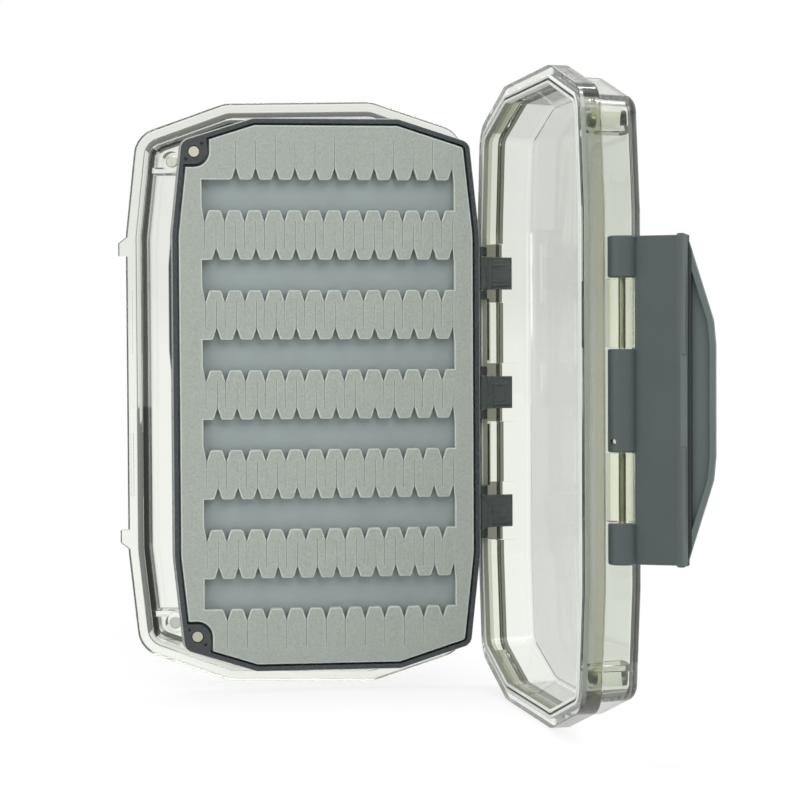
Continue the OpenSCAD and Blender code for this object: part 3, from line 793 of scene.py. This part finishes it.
def make_gasket():
    """Seal ring: two rounded lips with a groove between them."""
    edge = GASKET_LAND + SEAT_PLAY
    inner = RIM_IN + 0.15
    lip, groove, seat = 0.05, 1.15, RIM_Z + GASKET_SEAT - SEAT_PLAY
    a, b = OUTER_LIP / 2, INNER_LIP / 2
    profile = (
        [(edge, seat)]
        + arc(edge + a, lip + a, a, 180, 360, 8)
        + [(edge + OUTER_LIP, groove), (inner - INNER_LIP, groove)]
        + arc(inner - b, lip + b, b, 180, 360, 8)
        + [(inner, seat)]
    )
    ring = swept("gasket_look", CASE, CASE_MID, profile, closed=True)

    # painted shade: the groove and the hinge side's inner skirt, below the lips, get the darker seal
    def shaded(middle, normal):
        inset = inset_at(middle.x, middle.y)
        in_groove = edge + OUTER_LIP - 0.1 < inset < inner - INNER_LIP + 0.1
        on_skirt = middle.x < MID_S and inset > inner - 0.1
        deep = middle.z > (0.6 if in_groove else 0.75)
        return SEAL_SHADE if deep and (in_groove or on_skirt) else None

    world(shade(ring, 50), "lid", SEAL, "gasket", "lid_gasket", rule=shaded)


# ---- Page ----
def pads(name, grow, z0, z1):
    """Corner pads as solids: round at each magnet, with straight sides out to the frame."""
    r, reach = PAD_R + grow, 7
    round_side = [
        (r * math.cos(math.radians(a)), r * math.sin(math.radians(a))) for a in range(180, 271, 6)
    ]
    outline = round_side + [(reach, -r), (reach, reach), (-r, reach)]
    return joined(name, [
        prism(name, [(MAGNET_X + x, side * (MAGNET_Y + y)) for x, y in outline], flat, z0, z1)
        for side in (-1, 1)
    ])


def recess(name, inset, grow, z0, z1):
    """Solid of the field inside the frame, less the corner pads."""
    field = swept(name, SHEET, SHEET_MID, [(inset, z0), (inset, z1)])
    return combine(field, [(CUT, pads(name, grow, z0 - 1, z1 + 1))])


def page_ears():
    r = BARREL_R - 0.1
    parts = []
    for i in (-1, 0, 1):
        for side in (-1, 1):
            a = CLIP_W / 2 + END_PLAY
            y0, y1 = sorted((i * CLIP_PITCH + side * a, i * CLIP_PITCH + side * (a + EAR_L)))
            ear = rod_y("ear", 0, 0, r, y0, y1, 32, chamfer=0.2)
            root = prism("root", [(0, -r), (2.6, -r), (2.6, r), (0, r)], across, y0, y1)
            parts.append(combine(ear, [(ADD, root)]))
    return joined("ears", parts)


def at_clips(name, r, half, count):
    """Round bars on the page's hinge line, one at each clip."""
    mids = [i * CLIP_PITCH for i in (-1, 0, 1)]
    return joined(name, [rod_y(name, 0, 0, r, y - half, y + half, count) for y in mids])


def thumb_tab():
    mid, reach = 27.6, PAGE_NEAR + PAGE_W + 0.55
    outline = [
        (reach - 2.5, mid - 20.5), (reach - 0.6, mid - 20.5), (reach, mid - 13.5), (reach, mid + 13.5),
        (reach - 0.6, mid + 20.5), (reach - 2.5, mid + 20.5),
    ]
    return prism("tab", outline, flat, -1.5, 1.5)


def make_page_frame():
    rim = swept("page_frame_look", SHEET, SHEET_MID,
                [(PAGE_BEVEL, -FACE_Z), (0, 0), (PAGE_BEVEL, FACE_Z)])
    pin_half = CLIP_W / 2 + END_PLAY + EAR_L - 0.8
    reliefs = at_clips("reliefs", BARREL_R + SWING_GAP, CLIP_W / 2 + END_PLAY, 32)
    pin_bores = at_clips("pins", PAGE_PIN_R + SEAT_PLAY, pin_half, 24)
    holes = []
    for side in (-1, 1):
        holes.append(prism("hole", circle(MAGNET_X, side * MAGNET_Y, MAGNET_R + 0.12), flat, -6, 6))
        for hole in (-1, 1):
            for face in (-1, 1):
                centre = (MAGNET_X + hole * 2.5, side * MAGNET_Y - hole * side * 2.4)
                holes.append(prism("pinhole", circle(*centre, 0.55, 20), flat,
                                   face * FACE_Z - 1.2, face * FACE_Z + 1.2))
    combine(rim, [
        (CUT, recess("recess", RECESS_IN, 0, -6, 6)),
        (CUT, reliefs),
    ])
    rim = soften(clean(rim), 0.22)
    combine(rim, [
        (ADD, soften(clean(page_ears()), 0.15)),
        (ADD, soften(clean(thumb_tab()), 0.2)),
        (CUT, pin_bores),
        (CUT, joined("holes", holes)),
    ])

    # painted highlight: the frame's slanted front bevel gets the lighter plastic
    def edge(middle, normal):
        slanted = -0.97 < normal.z < -0.05 and middle.z < -0.5
        if slanted and inset_at(middle.x, middle.y, SHEET, SHEET_MID) < PAGE_BEVEL + 0.15:
            return FRAME_HIGHLIGHT

    world(shade(clean(rim, 0.05), 30), "page", FRAME, "frame_plastic", "page_frame", rule=edge)


def make_panel():
    panel = recess("page_panel_look", RECESS_IN + SEAT_PLAY, SEAT_PLAY, -PANEL_T / 2, PANEL_T / 2)
    world(shade(clean(panel), 30), "page", PANEL, "panel_plastic", "page_panel")


# ---- Foam ----
SLIT = 0.12  # width of a closed slit between two fingers
FINGER_SIDE = [  # half the notch's width over its depth, from the mouth to the slit
    (1.78, 0.0), (1.5, 0.08), (1.25, 0.27), (1.06, 0.6), (0.9, 1.05),
    (0.7, 1.7), (0.47, 2.4), (0.22, 3.1), (SLIT / 2, NOTCH_D),
]
EDGE_SOFT, SLIT_SOFT = 0.4, 0.16  # rounding of the foam's edges and of its slits


def comb_edge(notches, y, direction, ends, slits, rng):
    """Edge of a window from left to right, with its notches and slits, as (x, y, rounding).
    A notch close to an end slants straight to it from the window's side."""
    x_low, x_high = ends
    close = 2.0
    points = [] if notches[0] - x_low < close else [(x_low, y, EDGE_SOFT)]
    for x, slit in zip(notches, slits):
        x += rng.uniform(-0.06, 0.06)
        depth = 1 + rng.uniform(-0.03, 0.03)
        tip = y + direction * (slit + rng.uniform(-0.25, 0.25))
        for side, end in ((-1, x_low), (1, x_high)):
            slope = [(x + side * a, y + direction * b * depth, EDGE_SOFT) for a, b in FINGER_SIDE[:-1]]
            if abs(end - x) < close:
                slope = [(end, y - direction * 1.1, EDGE_SOFT)]
            slope.append((x + side * SLIT / 2, y + direction * NOTCH_D * depth, SLIT_SOFT))
            slope.append((x + side * SLIT / 2, tip, SLIT_SOFT))
            if side < 0:
                points += slope + [(x, tip + direction * SLIT / 2, SLIT_SOFT)]
            else:
                points += slope[::-1]
    if x_high - notches[-1] >= close:
        points.append((x_high, y, EDGE_SOFT))
    return points


def window_loop(i, rng):
    """Closed contour of open row i from the top."""
    fingers = int((ROW_L - 1.5) / FINGER_PITCH) + 1
    rows_mid = 0.3 - PAGE_DROP
    top = rows_mid + ((ROWS - 1) * ROW_PITCH + ROW_H) / 2 - i * ROW_PITCH
    bottom = top - ROW_H
    far = ROW_NEAR + ROW_L
    upper_first = ROW_NEAR + 0.5
    lower_first = far - 0.9 - (fingers - 1) * FINGER_PITCH
    at_top, at_bottom = i == 0, i == ROWS - 1
    upper = [upper_first + k * FINGER_PITCH for k in range(fingers - at_top)]
    lower = [lower_first + k * FINGER_PITCH for k in range(fingers - at_bottom)]
    long_slit = ROW_PITCH - ROW_H - 3.3
    edge_slit, corner_slit = 12.6, 9.6
    up_slits = [edge_slit if at_top else long_slit] * len(upper)
    if at_top:
        up_slits[0] = corner_slit
    low_slits = [edge_slit if at_bottom else long_slit] * len(lower)
    low_edge = comb_edge(lower, bottom, -1, (ROW_NEAR, far), low_slits, rng)
    up_edge = comb_edge(upper, top, 1, (ROW_NEAR, far), up_slits, rng)
    return low_edge + up_edge[::-1]


def outer_loop():
    """Contour of the whole sheet, with the corner pads cut away."""
    sheet = clean(recess("field", RECESS_IN + FOAM_GAP, FOAM_GAP + 0.2, 0, 1), 0.2)
    top = max((f for f in sheet.data.polygons if f.normal.z > 0.9), key=lambda f: f.area)
    loop = [tuple(sheet.data.vertices[v].co[:2]) + (EDGE_SOFT * 1.2,) for v in top.vertices]
    drop(sheet)
    return loop


def inwards(loop, hole):
    """Unit direction into the foam at each point of a contour, lengthened at corners."""
    area = sum(a[0] * b[1] - b[0] * a[1] for a, b in zip(loop, loop[1:] + loop[:1])) / 2
    sign = (1 if area > 0 else -1) * (-1 if hole else 1)
    result = []
    for before, p, after in zip(loop[-1:] + loop[:-1], loop, loop[1:] + loop[:1]):
        a = Vector((p[0] - before[0], p[1] - before[1])).normalized()
        b = Vector((after[0] - p[0], after[1] - p[1])).normalized()
        na, nb = Vector((-a.y, a.x)) * sign, Vector((-b.y, b.x)) * sign
        result.append((na + nb) / max(0.35, 1 + na.dot(nb)))
    return result


def foam_mesh(name, loops, depth):
    """Sheet from contours (the first is the outside): straight sides and softly rounded faces."""
    bm = bmesh.new()
    steps = 3  # faces round each edge
    contours = {-1: [], 1: []}
    for index, loop in enumerate(loops):
        into = inwards(loop, index > 0)
        rings = []
        for face, order in ((-1, range(steps, -1, -1)), (1, range(steps + 1))):
            for k in order:
                angle = math.radians(90 * k / steps)
                ring = []
                for (x, y, soft), d in zip(loop, into):
                    inset = soft * (1 - math.cos(angle))
                    fall = soft * (1 - math.sin(angle))
                    z = depth / 2 + face * (depth / 2 - fall)
                    ring.append(bm.verts.new((x + d.x * inset, y + d.y * inset, z)))
                rings.append(ring)
        for k, (a, b) in enumerate(zip(rings, rings[1:])):
            for j in range(len(a)):
                m = (j + 1) % len(a)
                bm.faces.new((a[j], a[m], b[m], b[j]))
        contours[-1].append(rings[0])
        contours[1].append(rings[-1])
    for face in (-1, 1):
        rims = contours[face]
        flat_list = [v for ring in rims for v in ring]
        for triangle in tessellate_polygon([[v.co.copy() for v in ring] for ring in rims]):
            corners = [flat_list[t] for t in triangle]
            if len(set(corners)) == 3 and bm.faces.get(corners) is None:
                bm.faces.new(corners)
    bmesh.ops.recalc_face_normals(bm, faces=bm.faces)
    return finished(name, bm)


def make_foam(name, node, z0, seed):
    rng = random.Random(seed)
    loops = [outer_loop()] + [window_loop(i, rng) for i in range(ROWS)]
    sheet = foam_mesh(name, loops, FACE_Z - PANEL_T / 2 - SEAT_PLAY)
    sheet.data.transform(Matrix.Translation((0, 0, z0)))

    # painted highlight: the rounded edges of the sheet and its fingers get the lighter foam
    def rim(_, normal):
        return FOAM_HIGHLIGHT if 0.1 < abs(normal.z) < 0.97 else None

    world(shade(sheet, 50), "page", FOAM, "foam", node, rule=rim)


# ---- Clips ----
def make_clip(name, node, i):
    half = CLIP_W / 2
    back = POCKET_X + SEAT_PLAY
    plate = back + 1.1
    arm_z = RIM_Z + GASKET_SEAT + SWING_GAP
    arm_x = PIVOT_S - BARREL_R
    y0, y1 = -i * CLIP_PITCH - half, -i * CLIP_PITCH + half
    outline = [
        (arm_x, 0), (PIVOT_S, 0), (PIVOT_S + 0.4, 1.5), (arm_x + 1.2, arm_z + 0.7),
        (plate + 0.5, arm_z + 1.6), (plate, CLIP_REACH - 0.5), (plate - 0.5, CLIP_REACH),
        (back, CLIP_REACH), (back, arm_z), (arm_x, arm_z),
    ]
    body = prism(name, outline, across, y0, y1)
    near = half - 0.7
    far = near - 0.5
    end = CLIP_REACH - 0.6
    mid = (y0 + y1) / 2
    cut = 1.2  # slanted corners of the plate's free end
    right = [(near, arm_z), (far, end - cut), (far - cut, end)]
    face = [(mid - near, arm_z)] + [(mid + a, b) for a, b in right] + [(mid - a, b) for a, b in right[:0:-1]]
    panel = soften(prism("back", face, facing, plate - 0.3, plate + 1), 0.25)
    ribs = joined("ribs", [
        soften(box("rib", plate + 0.8, plate + 1.35, mid + side * (far - 1.4) - 0.35,
                   mid + side * (far - 1.4) + 0.35, arm_z + 0.2, end - 1.8), 0.15)
        for side in (-1, 1)
    ])
    combine(soften(body, 0.2), [
        (ADD, rod_y("barrel", PIVOT_S, 0, BARREL_R, y0, y1, 40, chamfer=0.15)),
        (ADD, panel),
        (ADD, ribs),
        (CUT, rod_y("bore", PIVOT_S, 0, PAGE_PIN_R + TURN_PLAY, y0 - 1, y1 + 1, 24)),
    ])
    world(shade(clean(body, 0.05), 32), "lid", CLIP, "clip_plastic", node)


# ---- Small metal parts ----
def make_disc(name, node, body, x, y, r, z0, z1, edge, material, slot):
    disc = turned(name, x, y, [(r - edge, z0), (r, z0 + edge), (r, z1 - edge), (r - edge, z1)], 40)
    world(shade(disc, 30), body, material, slot, node)


def make_pin(name, node, body, x, z, r, y0, y1):
    world(shade(rod_y(name, x, z, r, y0, y1, 32, chamfer=0.2), 30), body, STEEL, "pin_steel", node)


def make_metal():
    edge = FACE_Z - 0.4
    for side, word in ((1, "upper"), (-1, "lower")):
        make_disc(f"{word}_magnet_look", f"{word}_page_magnet", "page", MAGNET_X, side * MAGNET_Y,
                  MAGNET_R, -edge, edge, 0.15, MAGNET, "magnet")
        for body, flip in (("base", 1), ("lid", -1)):
            make_disc(f"{word}_{body}_keeper_look", f"{word}_{body}_keeper", body, BOSS_S,
                      flip * side * MAGNET_Y, KEEPER_R, BOSS_Z + KEEPER_SUNK,
                      BOSS_Z + KEEPER_SUNK + KEEPER_T, 0.12, KEEPER, "keeper_steel")
    half = CLIP_W / 2 + END_PLAY + EAR_L - 0.8 - SEAT_PLAY
    for i, word in ((1, "upper"), (0, "middle"), (-1, "lower")):
        y = i * CLIP_PITCH
        make_pin(f"{word}_page_pin_look", f"{word}_page_pin", "page", 0, 0, PAGE_PIN_R, y - half, y + half)
        make_clip(f"{word}_clip_look", f"{word}_clip", i)
    make_pin("spine_pin_look", "spine_pin", "base", 0, 0, SPINE_PIN_R,
             -HINGE_L / 2 + END_PLAY, HINGE_L / 2 - END_PLAY)
    make_pin("latch_pin_look", "latch_pin", "lid", LATCH_S, LATCH_DEEP, LATCH_PIN_R,
             -LATCH_L / 2 + END_PLAY, LATCH_L / 2 - END_PLAY)


# ---- Latch ----
TAB_FLAT, TAB_SPREAD = 21.5, 0.5  # half the tab's outer edge, and how far its root passes the plate
SCOOP_IN, SCOOP_FLOOR = 1.5, 1.2  # the scoop's distance from the tab's edge, and what is left under it


def tab_outline(inset=0.0):
    half = LATCH_L / 2 + TAB_SPREAD
    start, tip = LIP_END - 0.6, LIP_END + TAB_L
    return rounded([
        (half, -start, 1.2), (half, -start + 2.5, 0.6), (-half, -start + 2.5, 0.6), (-half, -start, 1.2),
        (-TAB_FLAT, -tip + 0.6, 6), (-15, -tip, 6), (15, -tip, 6), (TAB_FLAT, -tip + 0.6, 6),
    ], inset, 6, 0.3)


def make_latch():
    half, mid = LATCH_L / 2, LATCH_MID_L / 2
    section = [
        (LATCH_IN, -LATCH_KNUCKLE_R), (LATCH_OUTER, -LATCH_KNUCKLE_R), (LATCH_OUTER, -LIP_END),
        (HOOK_W + 1, -LIP_END), (HOOK_W, -LIP_END + 0.6), (HOOK_W, -LIP_U - 2.1),
        (HOOK_W + 0.65, -LIP_U - 1.15), (LATCH_IN, -LIP_U),
    ]
    body = prism("latch_look", section, across, -half, half)
    spans = [(-half, -half + LATCH_END_L), (-mid, mid), (half - LATCH_END_L, half)]
    barrels, plates = [], []
    for y0, y1 in spans:
        barrel = rod_y("barrel", 0, 0, LATCH_KNUCKLE_R, y0, y1, 64, chamfer=0.3)
        low = -LATCH_KNUCKLE_R - 1
        root = [(LATCH_IN, low), (LATCH_OUTER, low), (LATCH_OUTER, 0), (LATCH_IN, 0)]
        plates.append(combine(barrel, [(ADD, prism("root", root, across, y0, y1))]))
    top = -LIP_END - 0.9
    foot = [(y, z) for y, z in tab_outline(SCOOP_IN) if z < top]
    wide = -foot[0][0] + (top - foot[0][1]) * (half + TAB_SPREAD - TAB_FLAT) / TAB_L
    scoop = prism("scoop", [(wide, top), (-wide, top)] + foot, facing, LATCH_IN - 1,
                  LATCH_OUTER - SCOOP_FLOOR)
    combine(body, [
        (ADD, prism("tab", tab_outline(), facing, LATCH_IN, LATCH_OUTER)),
        (CUT, scoop),
        (CUT, box("setback", HOOK_W - 1, HOOK_W + 0.6, -12.4, 12.4, -LIP_END - 1, -LIP_U)),
    ])
    soften(clean(body), 0.3)
    rooms = [
        rod_y("room", 0, 0, LATCH_KNUCKLE_R, a, b, 64)
        for a, b in ((mid, half - LATCH_END_L), (LATCH_END_L - half, -mid))
    ]
    combine(body, [
        (ADD, joined("knuckles", plates)),
        (CUT, joined("rooms", rooms)),
        bore(0, 0, LATCH_PIN_R + TURN_PLAY, half + 1, 32),
        (CUT, prism("vent", circle(mid - 2.8, 2, 0.9, 32), facing, -9, 9)),
    ])

    lip, root = -LIP_END + 0.02, top - 0.05

    # painted light: lighter copies of the latch plastic on the lip, the tab's rim and the scoop floor;
    # painted shade: a dark one in the lip's root
    def zone(middle, normal):
        if lip < middle.z < -LIP_U + 0.05 and normal.x < -0.3:
            return LATCH_LIP_LIT
        if root < middle.z < lip and (normal.z < -0.5 or normal.x < -0.9):
            return LATCH_ROOT_SHADE
        if normal.x < -0.5 and middle.z < root and middle.x < LATCH_OUTER - 1:
            return LATCH_DISH_LIT if middle.x > LATCH_IN + 0.5 else LATCH_LIP_LIT

    split(clean(body, 0.05), [root])
    world(shade(body, 32), "latch", LATCHED, "latch_plastic", "latch", rule=zone)


make_base()
make_lid()
make_gasket()
make_page_frame()
make_panel()
make_foam("front_foam_look", "front_foam", -FACE_Z, 11)
make_foam("back_foam_look", "back_foam", PANEL_T / 2 + SEAT_PLAY, 12)
make_metal()
make_latch()


# ---- Camera: placed from the photograph's perspective ----
CAMERA_AT = (0.06205, -0.637745, 0.10924)
YAW, PITCH, ROLL = -2.596, 1.509, -0.296  # degrees
FOCAL_PIXELS, SENSOR = 1942, 36.0


def make_camera():
    data = bpy.data.cameras.new("photo_camera")
    data.sensor_width, data.lens = SENSOR, FOCAL_PIXELS * SENSOR / IMAGE
    camera = placed("photo_camera", data)
    look = turn("Y", ROLL) @ turn("X", PITCH) @ turn("Z", YAW)
    right, ahead, up = (Vector(look[row][:3]) for row in range(3))
    pose = Matrix((right, up, -ahead)).transposed().to_4x4()
    camera.matrix_world = Matrix.Translation(CAMERA_AT) @ pose
    data.clip_start, data.clip_end = 0.01, 50
    bpy.context.scene.camera = camera


# ---- Stage ----
class Rays:
    """Light Path values for the surroundings: how a ray that shows them has come there."""

    def __init__(self, tree):
        self.math = tree.math
        self.path = tree.add("LightPath").outputs

    def seen(self):
        """1 for the rays that show the background: straight from the camera, or by gloss or glass."""
        gloss = self.math("MAXIMUM", self.path["Is Glossy Ray"], self.path["Is Transmission Ray"])
        return self.math("MAXIMUM", self.path["Is Camera Ray"], gloss)

    def strength(self, through, turned):
        """1 seen plainly, through seen through glass, turned once thrown about inside it."""
        inside = self.math("GREATER_THAN", self.path["Transmission Depth"], 0.5)
        piped = self.math("MULTIPLY", inside, self.math("GREATER_THAN", self.path["Glossy Depth"], 0.5))
        once = self.math("MULTIPLY_ADD", inside, self.math("SUBTRACT", through, 1.0), 1.0)
        left = self.math("SUBTRACT", 1.0, piped)
        return self.math("MULTIPLY_ADD", piped, turned, self.math("MULTIPLY", left, once))


def make_world(level):
    """White where it shows, and an even light of the given level everywhere else. Through clear
    plastic it is a little greyer, and by light thrown about inside it a dim room shows at the sides."""
    studio = bpy.data.worlds.new("studio")
    bpy.context.scene.world = studio
    studio.use_nodes = True
    t = Tree(studio.node_tree)
    t.tree.nodes.clear()
    lit, white = t.add("Background"), t.add("Background")
    lit.inputs["Color"].default_value = (0.97, 0.985, 1.0, 1)
    lit.inputs["Strength"].default_value = level
    white.inputs["Color"].default_value = (1, 1, 1, 1)
    ray = t.add("SeparateXYZ")
    t.link(t.add("TexCoord").outputs["Generated"], ray.inputs[0])
    at_sides = t.to_range(t.math("ABSOLUTE", ray.outputs["X"]), 0.8, 0.16, 0.28, 0.6)
    above = t.to_range(ray.outputs["Z"], 0.96, 0.87, 0.0, 0.03)
    rays = Rays(t)
    t.link(rays.strength(above, at_sides), white.inputs["Strength"])
    t.link(t.blend(rays.seen(), lit, white).outputs[0], t.add("OutputWorld").inputs[0])


def make_floor(glow):
    """Pale floor that shows white and keeps the object's shadow, which fades out away from it."""
    bpy.ops.mesh.primitive_plane_add(size=6.0, location=(0, 0, -0.00005))
    floor = bpy.context.object
    floor.name = "floor"
    n = Nodes("floor")
    n.set(Base_Color=(0.86, 0.87, 0.87, 1), Roughness=0.9, Specular_IOR_Level=0.0)
    shown = n.add("BsdfDiffuse")
    shown.inputs["Color"].default_value = (0.22, 0.22, 0.22, 1)
    light, white, none = (n.add("Emission") for _ in range(3))
    light.inputs["Strength"].default_value, none.inputs["Strength"].default_value = glow, 0.0
    near = n.add("AddShader")
    n.link(shown.outputs[0], near.inputs[0])
    n.link(light.outputs[0], near.inputs[1])
    away = n.add("VectorMath", operation="DISTANCE")
    n.link(n.place, away.inputs[0])
    away.inputs[1].default_value = (0.05, -0.03, 0)
    plain = n.blend(n.to_range(away.outputs["Value"], 0.0, 1.0, 0.15, 0.32), near, white)
    rays = Rays(n)
    dimmed = n.blend(rays.strength(1.0, 0.2), none, plain)
    n.link(n.blend(rays.seen(), n.shader, dimmed).outputs[0], n.output.inputs["Surface"])
    floor.data.materials.append(n.material)


def area_light(name, at, aim, size, power):
    data = bpy.data.lights.new(name, "AREA")
    data.shape, data.size, data.size_y = "RECTANGLE", size[0], size[1]
    data.energy = power
    light = placed(name, data)
    light.location = at
    light.rotation_euler = (Vector(aim) - Vector(at)).to_track_quat("-Z", "Y").to_euler()


make_camera()
make_world(0.62)
make_floor(0.755)
area_light("key", (0.35, -0.75, 0.75), (0.02, -0.02, 0.09), (0.6, 0.6), 4.4)
area_light("fill", (-0.6, -0.6, 0.4), (0.02, -0.02, 0.09), (0.6, 0.6), 2.0)
area_light("top", (0.05, 0.05, 0.85), (0.03, -0.03, 0.09), (0.7, 0.5), 1.0)
area_light("back", (0.04, 0.11, 0.85), (0.03, -0.03, 0.0), (0.5, 0.05), 2.0)

bpy.context.scene.view_settings.view_transform = "Standard"
cycles = bpy.context.scene.cycles
cycles.max_bounces = cycles.transmission_bounces = cycles.glossy_bounces = 24
